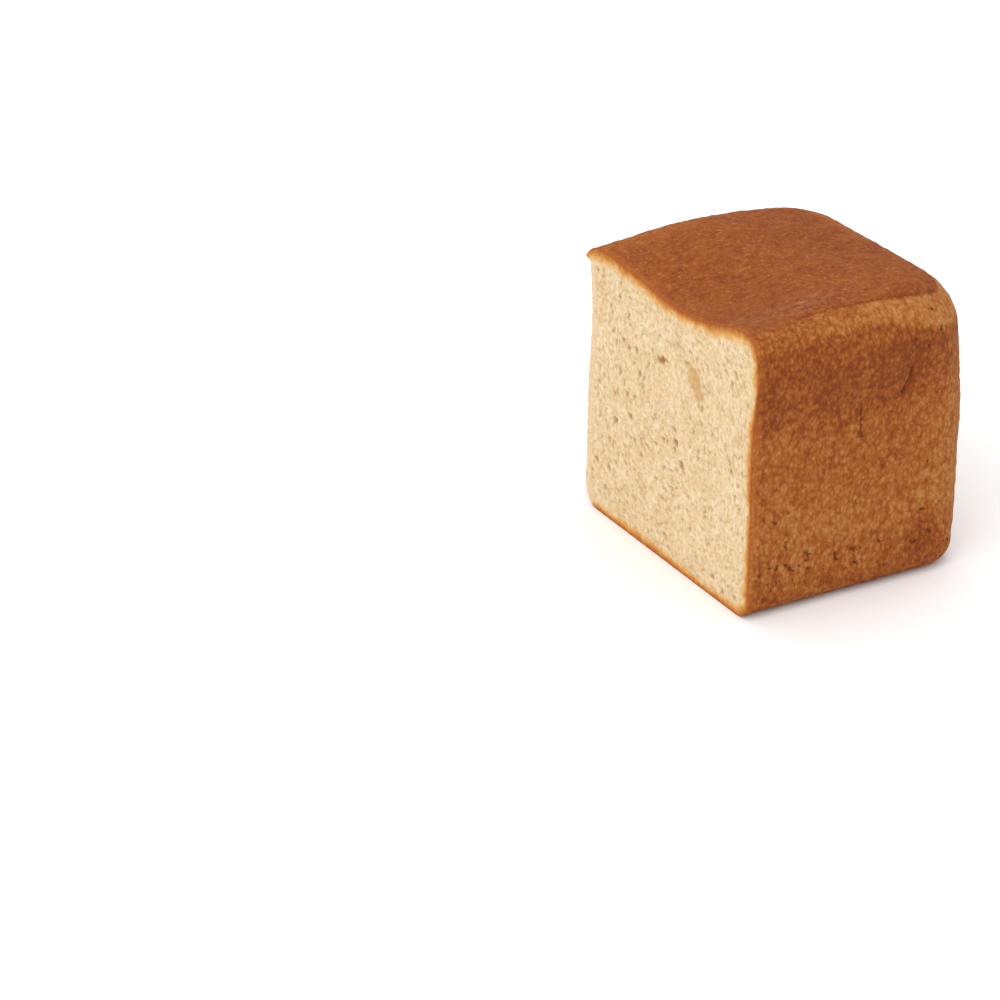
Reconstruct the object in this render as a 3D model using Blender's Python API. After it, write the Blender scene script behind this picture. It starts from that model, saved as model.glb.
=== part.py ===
"""The uncut end of a square brown tin loaf: a block of bread with one knife-cut face.

The block stands on its base. The cut face looks along -X and the baked heel along +X, the near side along -Y.
Everything is in metres, with +Z up and the origin on the floor under the middle of the block.
"""

import math

import bmesh
import bpy
from mathutils import Vector, noise

# The tin's inside, and how much of the loaf is left from the cut face to the heel
WIDTH = 0.1034
HEIGHT = 0.1013
LENGTH = 0.0890

# Rounding of the baked edges. A pair gives the values at the cut and at the heel, or at the foot and at the top.
HEEL_CORNER_RADIUS = (0.0145, 0.0265)
HEEL_CORNER_RISE = 4.0
NEAR_SHOULDER_RADIUS = (0.0050, 0.0160)
FAR_SHOULDER_RADIUS = (0.0055, 0.0195)
FOOT_RADIUS = 0.0074

# Where the top leaves the tin's lid: it droops and sags behind the knife, and is held up along the near shoulder
CUT_DROOP = 0.0038
CUT_DROOP_FADE = 0.0220
TOP_SAG = 0.0030
TOP_SAG_CENTRE = -0.0030
TOP_SAG_SPREAD = 0.0195
TOP_SAG_FADE = 0.0400
SHOULDER_LIP = 0.0004
SHOULDER_LIP_INSET = 0.0085
SHOULDER_LIP_SPREAD = 0.0130
TOP_DOME = 0.0032

# Where the walls leave the tin's sides and its end, which leans out towards the top
SHOULDER_SWELL = 0.0020
SHOULDER_SWELL_HEIGHT = 0.0870
SHOULDER_SWELL_SPREAD = 0.0125
FAR_HOLLOW = 0.0031
FAR_HOLLOW_HEIGHT = 0.0700
FAR_HOLLOW_SPREAD = 0.0240
FAR_HOLLOW_FADE = 0.0300
HEEL_BULGE = 0.0011
HEEL_TAPER = 0.0027

# The knife's face: a shallow dish
CUT_DISH = 0.0010

# Unevenness of the crust, which fades to nothing on the base
WAVE_SEED = 5
WAVE_SIZE = 0.0260
WAVE_DEPTH = 0.0006

# Skin lower than this is pressed level by the loaf's weight
PRESSED_LEVEL = 0.00002

# The grid on each face of the block, drawn together towards the edges
GRID_CUTS = 27
GRID_CROWDING = 0.50

CRUST_COLOUR = (0.42, 0.17, 0.055, 1.0)
CRUMB_COLOUR = (0.74, 0.56, 0.34, 1.0)
CRUST_ROUGHNESS = 0.55
CRUMB_ROUGHNESS = 0.90


def clear_scene():
    for obj in list(bpy.data.objects):
        bpy.data.objects.remove(obj, do_unlink=True)


def smooth(share):
    """Runs from 0 to 1 with no kink at either end."""
    share = min(1.0, max(0.0, share))
    return share * share * (3.0 - 2.0 * share)


def hump(distance, spread):
    """A bell of height 1 at distance 0."""
    return math.exp(-((distance / spread) ** 2))


def blend(pair, share):
    """Goes from the first value of a pair to the second."""
    return pair[0] + (pair[1] - pair[0]) * share


def crowded(share):
    """Moves a grid line's share of a face towards the nearer edge, for finer facets on the rounding."""
    return share - GRID_CROWDING * math.sin(2.0 * math.pi * share) / (2.0 * math.pi)


def round_corner(across, up):
    """Turns a point of a square corner zone into the point of its quarter disc with the same share of the way out.

    Both distances are measured from the corner's centre.
    """
    distance = math.hypot(across, up)
    if distance == 0.0:
        return 0.0, 0.0
    share = max(abs(across), abs(up)) / distance
    return across * share, up * share


def round_heel(x, y, radius):
    """Rounds the heel's two upright edges; those of the cut face stay sharp.

    Gives the corner's centre, and the way from there to the point.
    """
    centre = Vector((min(x, LENGTH - radius), math.copysign(min(abs(y), WIDTH / 2 - radius), y)))
    return centre, Vector(round_corner(x - centre.x, y - centre.y))


def edge_radius(x, y, z):
    """The rounding of the shoulder, or of the foot, at this place."""
    if z < HEIGHT / 2:
        return FOOT_RADIUS
    along = smooth(x / LENGTH)
    shoulders = (blend(FAR_SHOULDER_RADIUS, along), blend(NEAR_SHOULDER_RADIUS, along))
    return blend(shoulders, smooth(0.5 - y / WIDTH))


def round_edges(point):
    """Rounds every edge of the box except the four round the cut face."""
    x, y, z = point
    corner_radius = blend(HEEL_CORNER_RADIUS, smooth(z / HEIGHT) ** HEEL_CORNER_RISE)
    centre, way_out = round_heel(x, y, corner_radius)
    radius = edge_radius(x, y, z)
    core_out = min(way_out.length, corner_radius - radius)
    core_z = min(max(z, radius), HEIGHT - radius)
    out, up = round_corner(way_out.length - core_out, z - core_z)
    if way_out.length > 0.0:
        centre += way_out.normalized() * (core_out + out)
    return Vector((centre.x, centre.y, core_z + up))


def top_rise(x, y):
    """How far the top crust stands above or below the tin's lid."""
    from_near = y + WIDTH / 2
    lip = hump(from_near - SHOULDER_LIP_INSET, SHOULDER_LIP_SPREAD)
    droop = -CUT_DROOP * (1.0 - lip) * hump(x, CUT_DROOP_FADE)
    sag = -TOP_SAG * hump(y - TOP_SAG_CENTRE, TOP_SAG_SPREAD) * hump(x, TOP_SAG_FADE)
    dome = TOP_DOME * math.sin(math.pi * smooth(x / LENGTH)) * math.cos(math.pi * y / WIDTH)
    return SHOULDER_LIP * lip + droop + sag + dome


def side_swell(x, y, z):
    """How far a side wall stands past the tin's plane: the near one swells at its shoulder, the far one sinks in."""
    if y < 0.0:
        return SHOULDER_SWELL * hump(z - SHOULDER_SWELL_HEIGHT, SHOULDER_SWELL_SPREAD)
    return -FAR_HOLLOW * hump(z - FAR_HOLLOW_HEIGHT, FAR_HOLLOW_SPREAD) * hump(x, FAR_HOLLOW_FADE)


def face_dome(y, z):
    """A low dome over an end face, 0 at its edges and 1 at its middle."""
    return math.cos(math.pi * y / WIDTH) * math.sin(math.pi * z / HEIGHT)


def bake(point):
    """Moves a point of the rounded box to where the baked and sagged bread has it."""
    x, y, z = point
    moved = Vector(point)
    moved.z += smooth(z / HEIGHT) ** 2 * top_rise(x, y)
    moved.y += (2.0 * y / WIDTH) ** 3 * side_swell(x, y, z)
    moved.x += smooth(x / LENGTH) ** 2 * (HEEL_BULGE * face_dome(y, z) + HEEL_TAPER * (z / HEIGHT - 0.5))
    moved.x += (1.0 - smooth(2.0 * x / LENGTH)) * CUT_DISH * face_dome(y, z)
    return moved


def wave(point):
    """The slow unevenness of the whole crust, held still on the base."""
    lifted = smooth(point.z / (2.0 * FOOT_RADIUS))
    return point + noise.noise_vector(point / WAVE_SIZE) * WAVE_DEPTH * lifted


def block_mesh():
    """A box of even grids, one on each face, shaped point by point."""
    noise.seed_set(WAVE_SEED)
    shaped = bmesh.new()
    bmesh.ops.create_cube(shaped, size=1.0)
    bmesh.ops.subdivide_edges(shaped, edges=shaped.edges[:], cuts=GRID_CUTS, use_grid_fill=True)
    for vertex in shaped.verts:
        share = [crowded(value + 0.5) for value in vertex.co]
        box_point = Vector((share[0] * LENGTH, (share[1] - 0.5) * WIDTH, share[2] * HEIGHT))
        vertex.co = wave(bake(round_edges(box_point)))
    stand_at_origin(shaped)
    bmesh.ops.recalc_face_normals(shaped, faces=shaped.faces[:])
    return shaped


def stand_at_origin(shaped):
    """Puts the middle of the block's box over the origin and its lowest skin level on the floor."""
    lowest = Vector(min(vertex.co[axis] for vertex in shaped.verts) for axis in range(3))
    highest = Vector(max(vertex.co[axis] for vertex in shaped.verts) for axis in range(3))
    middle = (lowest + highest) / 2
    bmesh.ops.translate(shaped, verts=shaped.verts[:], vec=(-middle.x, -middle.y, -lowest.z))
    for vertex in shaped.verts:
        if vertex.co.z < PRESSED_LEVEL:
            vertex.co.z = 0.0


def bread_material(name, colour, roughness):
    material = bpy.data.materials.new(name)
    material.use_nodes = True
    shader = material.node_tree.nodes["Principled BSDF"]
    shader.inputs["Base Color"].default_value = colour
    shader.inputs["Roughness"].default_value = roughness
    shader.inputs["Metallic"].default_value = 0.0
    return material


def paint_cut_face(mesh):
    """Gives the faces that look along -X the crumb's colour."""
    for face in mesh.polygons:
        face.material_index = 1 if face.normal.x < -0.9 else 0


def main():
    clear_scene()
    collection = bpy.data.collections.new("brown_bread")
    bpy.context.scene.collection.children.link(collection)
    shaped = block_mesh()
    mesh = bpy.data.meshes.new("loaf")
    shaped.to_mesh(mesh)
    shaped.free()
    loaf = bpy.data.objects.new("loaf", mesh)
    collection.objects.link(loaf)
    mesh.materials.append(bread_material("crust", CRUST_COLOUR, CRUST_ROUGHNESS))
    mesh.materials.append(bread_material("crumb", CRUMB_COLOUR, CRUMB_ROUGHNESS))
    paint_cut_face(mesh)
    mesh.shade_smooth()
    mesh.set_sharp_from_angle(angle=math.radians(50))


if __name__ == "__main__":
    main()
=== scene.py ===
"""The looks of a square brown tin loaf's uncut end: baked crust, knife-cut crumb and the bran on it.

Everything is in metres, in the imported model's frame: +Z up, the cut face along -X, the baked heel along +X
and the near side wall along -Y. The crust and the crumb follow the form of the CAD solid they stand for.
"""

from __future__ import annotations

import logging
import math
from dataclasses import dataclass, field, replace
from enum import Enum

import bmesh
import bpy
import numpy as np
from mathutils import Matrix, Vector, kdtree, noise


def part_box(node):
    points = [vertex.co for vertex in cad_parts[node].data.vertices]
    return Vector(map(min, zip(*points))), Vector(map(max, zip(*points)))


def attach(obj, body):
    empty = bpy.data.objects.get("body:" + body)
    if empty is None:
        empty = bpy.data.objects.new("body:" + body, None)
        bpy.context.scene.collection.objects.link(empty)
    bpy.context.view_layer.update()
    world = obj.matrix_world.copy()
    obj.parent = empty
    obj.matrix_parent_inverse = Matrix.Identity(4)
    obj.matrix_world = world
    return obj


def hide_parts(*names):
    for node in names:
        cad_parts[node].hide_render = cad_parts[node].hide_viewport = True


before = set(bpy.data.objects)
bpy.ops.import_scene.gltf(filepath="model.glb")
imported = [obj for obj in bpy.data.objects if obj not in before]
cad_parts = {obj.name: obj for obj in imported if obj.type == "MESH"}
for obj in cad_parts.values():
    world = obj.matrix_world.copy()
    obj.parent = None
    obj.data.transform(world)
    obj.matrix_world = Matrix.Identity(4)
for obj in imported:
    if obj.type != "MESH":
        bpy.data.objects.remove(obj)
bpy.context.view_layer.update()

LOG = logging.getLogger("brown_bread")
BODY = "root"
NODE = "loaf"
FIT_STEPS = 41
TINY = 1e-12

Array = np.ndarray
Pair = tuple[float, float]
Line =tuple[Pair, ...]
Spot = tuple[float, float, float]
Colour = tuple[float, float, float]
Stops = tuple[tuple[float, Colour], ...]
Socket = bpy.types.NodeSocket


class Slot(Enum):
    """The record's material slots."""

    CRUST = "crust"
    CRUMB = "crumb"


class Mark(Enum):
    """The named values that the meshes carry for their materials."""

    TONE = "bake_tone"
    PIT = "pit"
    # Where the top is glossier; the same mask places the painted sheen, a painted reflection, in the crust's
    # colour
    GLOSS_AND_PAINTED_SHEEN = "gloss_and_painted_sheen"
    PORE = "pore"
    SECTION = "crust_section"
    FAR_SKIN = "far_skin"
    FIBRE = "fibre"
    HOLLOW = "long_hollow"
    CALM = "calm_top"
    RIM = "knife_rim"


class Kind(Enum):
    """The patterns that the bread's materials share."""

    MOTTLE = "Bread mottle"
    FLECKS = "Bread flecks"
    GRAINS = "Bread grains"


def smooth(share: Array) -> Array:
    """Run from 0 to 1 with no kink at either end; below share 0 it stays 0, and above share 1 it stays 1."""
    held = np.clip(share, 0.0, 1.0)
    return held * held * (3.0 - 2.0 * held)


def rise(value: Array, stretch: Pair) -> Array:
    """Run smoothly from 0 to 1 over a stretch, which is given by its start and its length."""
    return smooth((value - stretch[0]) / stretch[1])


def hump(distance: Array, spread: float) -> Array:
    """Give a bell of height 1 at distance 0, which has sunk to about a third at its spread."""
    return np.exp(-((distance / spread) ** 2))


def bell(value: Array, shape: Pair) -> Array:
    """Give a bell of height 1, which is given by its middle and its spread."""
    return hump(value - shape[0], shape[1])


def between(pair: Pair, share: Array) -> Array:
    """Go from the first value of a pair, at share 0, to the second, at share 1."""
    return pair[0] + (pair[1] - pair[0]) * share


def turned(across: Array, up: Array) -> tuple[Array, Array]:
    """Turn points of a square corner zone into those of its quarter disc with the same share of the way out.

    Args:
        across: Distances from the corner's centre, sideways.
        up: Distances from the corner's centre, upwards.

    Returns:
        The new distances.
    """
    distance = np.maximum(np.hypot(across, up), TINY)
    share = np.maximum(np.abs(across), np.abs(up)) / distance
    return across * share, up * share


def beside(places: Array, start: Array, end: Array) -> tuple[Array, Array]:
    """Measure how each place lies to a straight run.

    Args:
        places: Places of two numbers, one in each row.
        start: Where the run starts.
        end: Where it ends, which may be its start.

    Returns:
        Their distances from the run, and their shares of the way along it.
    """
    run = end - start
    share = np.clip((places - start) @ run / max(float(run @ run), TINY), 0.0, 1.0)
    return np.hypot(*(places - start - share[:, None] * run).T), share


@dataclass(frozen=True)
class Lumps:
    """Smooth noise: the size of its lumps, their strength, and the seed that gives just these lumps."""

    size: float
    strength: float
    seed: int
    seeds_apart: Spot = (17.3, 41.9, 5.7)

    def at(self, points: Array) -> Array:
        """Read the noise at points, one in each row; it stays between about -strength and strength."""
        places = (points / self.size + np.array(self.seeds_apart) * self.seed).tolist()
        return self.strength * np.array([noise.noise(place) for place in places])


@dataclass(frozen=True)
class TinForm:
    """The baked and sagged block of bread, with the sizes that the CAD solid has."""

    width: float = 0.1034
    height: float = 0.1013
    length: float = 0.0890
    heel_corner_radius: Pair = (0.0145, 0.0265)
    heel_corner_rise: float = 4.0
    near_shoulder_radius: Pair = (0.0050, 0.0160)
    far_shoulder_radius: Pair = (0.0055, 0.0195)
    foot_radius: float = 0.0074
    cut_droop: float = 0.0038
    cut_droop_fade: float = 0.0220
    top_sag: float = 0.0030
    top_sag_across: Pair = (-0.0030, 0.0195)
    top_sag_fade: float = 0.0400
    shoulder_lip: float = 0.0004
    shoulder_lip_across: Pair = (0.0085, 0.0130)
    top_dome: float = 0.0032
    shoulder_swell: float = 0.0020
    shoulder_swell_up: Pair = (0.0870, 0.0125)
    far_hollow: float = 0.0031
    far_hollow_up: Pair = (0.0700, 0.0240)
    far_hollow_fade: float = 0.0300
    heel_bulge: float = 0.0011
    heel_taper: float = 0.0027
    cut_dish: float = 0.0010
    wave_seed: int = 5
    wave_size: float = 0.0260
    wave_depth: float = 0.0006

    def edge_radius(self, points: Array) -> Array:
        """Give the rounding of the shoulder, or of the foot.

        Args:
            points: Points on the plain box, one in each row.

        Returns:
            The radius at each point.
        """
        x, y, z = points.T
        along = smooth(x / self.length)
        far = between(self.far_shoulder_radius, along)
        near = between(self.near_shoulder_radius, along)
        shoulder = far + (near - far) * smooth(0.5 - y / self.width)
        return np.where(z < self.height / 2, self.foot_radius, shoulder)

    def rounded(self, points: Array) -> Array:
        """Round every edge of the box except the four round the cut face.

        Args:
            points: Points on the plain box, one in each row.

        Returns:
            The same points on the rounded box.
        """
        x, y, z = points.T
        corner_radius = between(self.heel_corner_radius, smooth(z / self.height) ** self.heel_corner_rise)
        centre_x = np.minimum(x, self.length - corner_radius)
        centre_y = np.copysign(np.minimum(np.abs(y), self.width / 2 - corner_radius), y)
        out_x, out_y = turned(x - centre_x, y - centre_y)
        way_out = np.hypot(out_x, out_y)
        radius = self.edge_radius(points)
        core_out = np.minimum(way_out, corner_radius - radius)
        core_z = np.clip(z, radius, self.height - radius)
        out, up = turned(way_out - core_out, z - core_z)
        stretch = (core_out + out) / np.maximum(way_out, TINY)
        return np.stack([centre_x + out_x * stretch, centre_y + out_y * stretch, core_z + up], axis=1)

    def top_rise(self, points: Array) -> Array:
        """Say how far the top crust stands above or below the tin's lid.

        Args:
            points: Points on the rounded box, one in each row.

        Returns:
            The rise at each point, below 0 where the top has sunk.
        """
        x, y = points[:, 0], points[:, 1]
        lip = bell(y + self.width / 2, self.shoulder_lip_across)
        droop = -self.cut_droop * (1.0 - lip) * hump(x, self.cut_droop_fade)
        sag = -self.top_sag * bell(y, self.top_sag_across) * hump(x, self.top_sag_fade)
        dome = self.top_dome * np.sin(np.pi * smooth(x / self.length)) * np.cos(np.pi * y / self.width)
        return self.shoulder_lip * lip + droop + sag + dome

    def side_swell(self, points: Array) -> Array:
        """Say how far a side wall stands past the tin's plane: the near one swells, the far one sinks in.

        Args:
            points: Points on the rounded box, one in each row.

        Returns:
            The swell at each point, below 0 where the wall has sunk in.
        """
        x, y, z = points.T
        near = self.shoulder_swell * bell(z, self.shoulder_swell_up)
        hollow = bell(z, self.far_hollow_up) * hump(x, self.far_hollow_fade)
        return np.where(y < 0.0, near, -self.far_hollow * hollow)

    def baked(self, points: Array) -> Array:
        """Move points of the rounded box to where the baked and sagged bread has them.

        Args:
            points: Points on the rounded box, one in each row.

        Returns:
            The moved points.
        """
        x, y, z = points.T
        face_dome = np.cos(np.pi * y / self.width) * np.sin(np.pi * z / self.height)
        new_z = z + smooth(z / self.height) ** 2 * self.top_rise(points)
        new_y = y + (2.0 * y / self.width) ** 3 * self.side_swell(points)
        heel = self.heel_bulge * face_dome + self.heel_taper * (z / self.height - 0.5)
        new_x = x + smooth(x / self.length) ** 2 * heel
        new_x += (1.0 - smooth(2.0 * x / self.length)) * self.cut_dish * face_dome
        return np.stack([new_x, new_y, new_z], axis=1)

    def waved(self, points: Array) -> Array:
        """Add the slow unevenness of the whole crust, which is nothing on the base.

        Args:
            points: Points on the baked bread, one in each row.

        Returns:
            The moved points.
        """
        noise.seed_set(self.wave_seed)
        shift = np.array([noise.noise_vector(place) for place in (points / self.wave_size).tolist()])
        lifted = smooth(points[:, 2] / (2.0 * self.foot_radius))
        return points + shift * self.wave_depth * lifted[:, None]

    def surface(self, shares: Array) -> Array:
        """Place points of the block's outside, still measured from the tin's corner.

        Args:
            shares: Each point's shares of the way along, across and up the box, from 0 to 1.

        Returns:
            The points, one in each row.
        """
        box_points = (shares - np.array((0.0, 0.5, 0.0))) * np.array((self.length, self.width, self.height))
        return self.waved(self.baked(self.rounded(box_points)))


@dataclass(frozen=True)
class LoafPlace:
    """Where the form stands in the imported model's frame."""

    form: TinForm
    shift: Array

    @classmethod
    def fitted(cls, form: TinForm) -> LoafPlace:
        """Centre the form in the CAD node's box, on its floor.

        Args:
            form: The block's form.

        Returns:
            The form with its place.
        """
        steps = np.linspace(0.0, 1.0, FIT_STEPS)
        grid = np.stack(np.meshgrid(steps, steps, steps), axis=-1).reshape(-1, 3)
        outside = grid[((grid == 0.0) | (grid == 1.0)).any(axis=1)]
        points = form.surface(outside)
        low, high = (np.array(corner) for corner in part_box(NODE))
        shift = (low + high) / 2 - (points.min(axis=0) + points.max(axis=0)) / 2
        shift[2] = low[2]
        return cls(form, shift)

    def surface(self, shares: Array) -> Array:
        """Place points of the block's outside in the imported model's frame."""
        return self.form.surface(shares) + self.shift

    @property
    def cut(self) -> float:
        """The place of the knife's plane along X, at its edges."""
        return float(self.shift[0])


@dataclass(frozen=True)
class Ragged:
    """Small unevenness that crust and crumb share, so that they still meet along the cut's edge."""

    size: float = 0.0024
    depth: float = 0.00020
    fine_size: float = 0.0011
    fine_depth: float = 0.00008
    seed: int = 3
    lift_height: float = 0.0020
    foot_fade: float = 0.0015
    burr_place: Spot = (-0.0450, 0.0500, 0.0950)
    burr_size: Spot = (0.0050, 0.0042, 0.0026)
    burr_shift: Spot = (-0.0010, 0.0024, -0.0022)

    def shift(self, points: Array) -> Array:
        """Say how far each point is moved; the knife has left a burr at the far top corner.

        Args:
            points: The points, one in each row.

        Returns:
            The moves, as a vector in each row.
        """
        noise.seed_set(self.seed)
        coarse = np.array([noise.noise_vector(place) for place in (points / self.size).tolist()])
        fine = np.array([noise.noise_vector(place) for place in (points / self.fine_size).tolist()])
        lifted = smooth(points[:, 2] / self.lift_height)[:, None]
        from_burr = np.linalg.norm((points - np.array(self.burr_place)) / np.array(self.burr_size), axis=1)
        burr = hump(from_burr, 1.0)[:, None] * np.array(self.burr_shift)
        return (coarse * self.depth + fine * self.fine_depth) * lifted + burr

    def fade(self, points: Array, from_rim: Array, run: float) -> Array:
        """Hold the finer relief back at the floor and, over this run, at the cut's edge."""
        return smooth(from_rim / run) * smooth(points[:, 2] / self.foot_fade)


def read(mesh: bpy.types.Mesh, name: str) -> Array:
    """Read a vector of each of a mesh's vertices.

    Args:
        mesh: The mesh.
        name: The vector's name, such as co or normal.

    Returns:
        The vectors, one in each row.
    """
    found = np.empty(len(mesh.vertices) * 3, np.float32)
    mesh.vertices.foreach_get(name, found)
    return found.reshape(-1, 3).astype(float)


def move_to(mesh: bpy.types.Mesh, points: Array) -> None:
    """Put a mesh's vertices at these points."""
    mesh.vertices.foreach_set("co", points.astype(np.float32).ravel())
    mesh.update()


def store(mesh: bpy.types.Mesh, mark: Mark, values: Array) -> None:
    """Keep one value for each vertex, for the material to read."""
    layer = mesh.attributes.new(mark.value, "FLOAT", "POINT")
    layer.data.foreach_set("value", values.astype(np.float32))


def as_object(name: str, shaped: bmesh.types.BMesh) -> bpy.types.Object:
    """Turn a mesh in the making into an object of the scene, shaded smooth.

    Args:
        name: The piece's name.
        shaped: The mesh, which is used up.

    Returns:
        The new object.
    """
    mesh = bpy.data.meshes.new(name)
    shaped.to_mesh(mesh)
    shaped.free()
    mesh.shade_smooth()
    piece = bpy.data.objects.new(name, mesh)
    bpy.context.scene.collection.objects.link(piece)
    return piece


def hand_over(piece: bpy.types.Object, material: bpy.types.Material) -> None:
    """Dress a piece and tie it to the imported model.

    Args:
        piece: The finished piece.
        material: Its material.
    """
    piece.data.materials.append(material)
    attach(piece, BODY)
    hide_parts(NODE)
    LOG.info("%s: %d faces", piece.name, len(piece.data.polygons))


def plain_material(name: str, roughness: float, specular: float) -> tuple[bpy.types.Material, bpy.types.Node]:
    """Start a material.

    Args:
        name: Its name.
        roughness: How matt it is.
        specular: How strongly it reflects.

    Returns:
        The material and its shader.
    """
    made = bpy.data.materials.new(name)
    made.use_nodes = True
    shader = made.node_tree.nodes["Principled BSDF"]
    shader.inputs["Roughness"].default_value = roughness
    shader.inputs["Specular IOR Level"].default_value = specular
    return made, shader


class Bench:
    """A node tree with short calls for adding and joining its nodes."""

    def __init__(self, tree: bpy.types.NodeTree) -> None:
        """Start on a tree."""
        self.tree = tree

    def node(self, kind: str, settings: dict | None = None, **inputs: object) -> bpy.types.Node:
        """Add a node.

        Args:
            kind: Its type, without the leading ShaderNode.
            settings: Properties of the node itself.
            inputs: Its inputs by name with underscores for blanks; a socket is joined and a value is set.

        Returns:
            The new node.
        """
        made = self.tree.nodes.new("ShaderNode" + kind)
        for name, value in (settings or {}).items():
            setattr(made, name, value)
        for name, value in inputs.items():
            self.feed(made.inputs[name.replace("_", " ")], value)
        return made

    def feed(self, socket: Socket, value: object) -> None:
        """Join a socket to another, or set its value; a colour is given by its red, green and blue.

        Args:
            socket: The input to feed.
            value: A node's output, or a plain value.
        """
        if isinstance(value, Socket):
            self.tree.links.new(value, socket)
        elif socket.type == "RGBA":
            socket.default_value = (*value, 1.0)
        else:
            socket.default_value = value

    def placed(self, kind: str, settings: dict, values: dict[int, object]) -> bpy.types.Node:
        """Add a node whose inputs are told apart by their places only.

        Args:
            kind: Its type, without the leading ShaderNode.
            settings: Properties of the node itself.
            values: Its inputs by place.

        Returns:
            The new node.
        """
        made = self.node(kind, settings)
        for index, value in values.items():
            self.feed(made.inputs[index], value)
        return made

    def maths(self, operation: str, first: object, second: object, clamp: bool = False) -> Socket:
        """Work out a number from two others."""
        settings = {"operation": operation, "use_clamp": clamp}
        return self.placed("Math", settings, {0: first, 1: second}).outputs[0]

    def times(self, first: object, second: object) -> Socket:
        """Multiply two numbers."""
        return self.maths("MULTIPLY", first, second)

    def plus(self, first: object, second: object, clamp: bool = False) -> Socket:
        """Add two numbers."""
        return self.maths("ADD", first, second, clamp)

    def minus(self, first: object, second: object) -> Socket:
        """Take the second number from the first."""
        return self.maths("SUBTRACT", first, second)

    def vectors(self, operation: str, first: object, second: object) -> Socket:
        """Work out a vector from two others."""
        return self.placed("VectorMath", {"operation": operation}, {0: first, 1: second}).outputs[0]

    def ranged(self, value: object, span: Pair, to_low: float, to_high: float) -> Socket:
        """Map a value smoothly from one range to another.

        Args:
            value: The value.
            span: The range that it is mapped from.
            to_low: What the range's first end becomes, and all that lies beyond it.
            to_high: The same for the other end.

        Returns:
            The mapped value.
        """
        made = self.node(
            "MapRange", {"interpolation_type": "SMOOTHSTEP"},
            Value=value, From_Min=span[0], From_Max=span[1], To_Min=to_low, To_Max=to_high,
        )
        return made.outputs[0]

    def mixed(self, share: object, first: object, second: object) -> Socket:
        """Mix two colours, by the second one's share."""
        settings = {"data_type": "RGBA"}
        return self.placed("Mix", settings, {0: share, 6: first, 7: second}).outputs[2]

    def ramp(self, value: object, stops: Stops) -> Socket:
        """Turn a number into a colour.

        Args:
            value: The number, from 0 to 1.
            stops: Places on the ramp with their colours, from low to high.

        Returns:
            The colour.
        """
        made = self.node("ValToRGB", None, Fac=value)
        elements = made.color_ramp.elements
        while len(elements) < len(stops):
            elements.new(0.5)
        for element, (place, colour) in zip(elements, stops):
            element.position = place
            element.color = (*colour, 1.0)
        return made.outputs["Color"]

    def mark(self, mark: Mark) -> Socket:
        """Read one of the mesh's marks."""
        return self.node("Attribute", {"attribute_name": mark.value}).outputs["Fac"]

    def dress(self, shader: bpy.types.Node, colour: Socket, height: Socket, bump: Pair) -> None:
        """Give a shader its colour and its small bumps.

        Args:
            shader: The material's shader.
            colour: Its colour.
            height: How high the bumps stand, as a share of their full height.
            bump: How strongly they show, and their full height.
        """
        bumps = self.node("Bump", None, Height=height, Strength=bump[0], Distance=bump[1])
        self.feed(shader.inputs["Base Color"], colour)
        self.feed(shader.inputs["Normal"], bumps.outputs["Normal"])


@dataclass(frozen=True)
class Pattern:
    """A pattern as a material uses it: its kind, its lumps per metre, its upward stretch and the rest."""

    kind: Kind
    per_metre: float
    stretch: float = 1.0
    rest: dict[str, float] = field(default_factory=dict)


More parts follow.
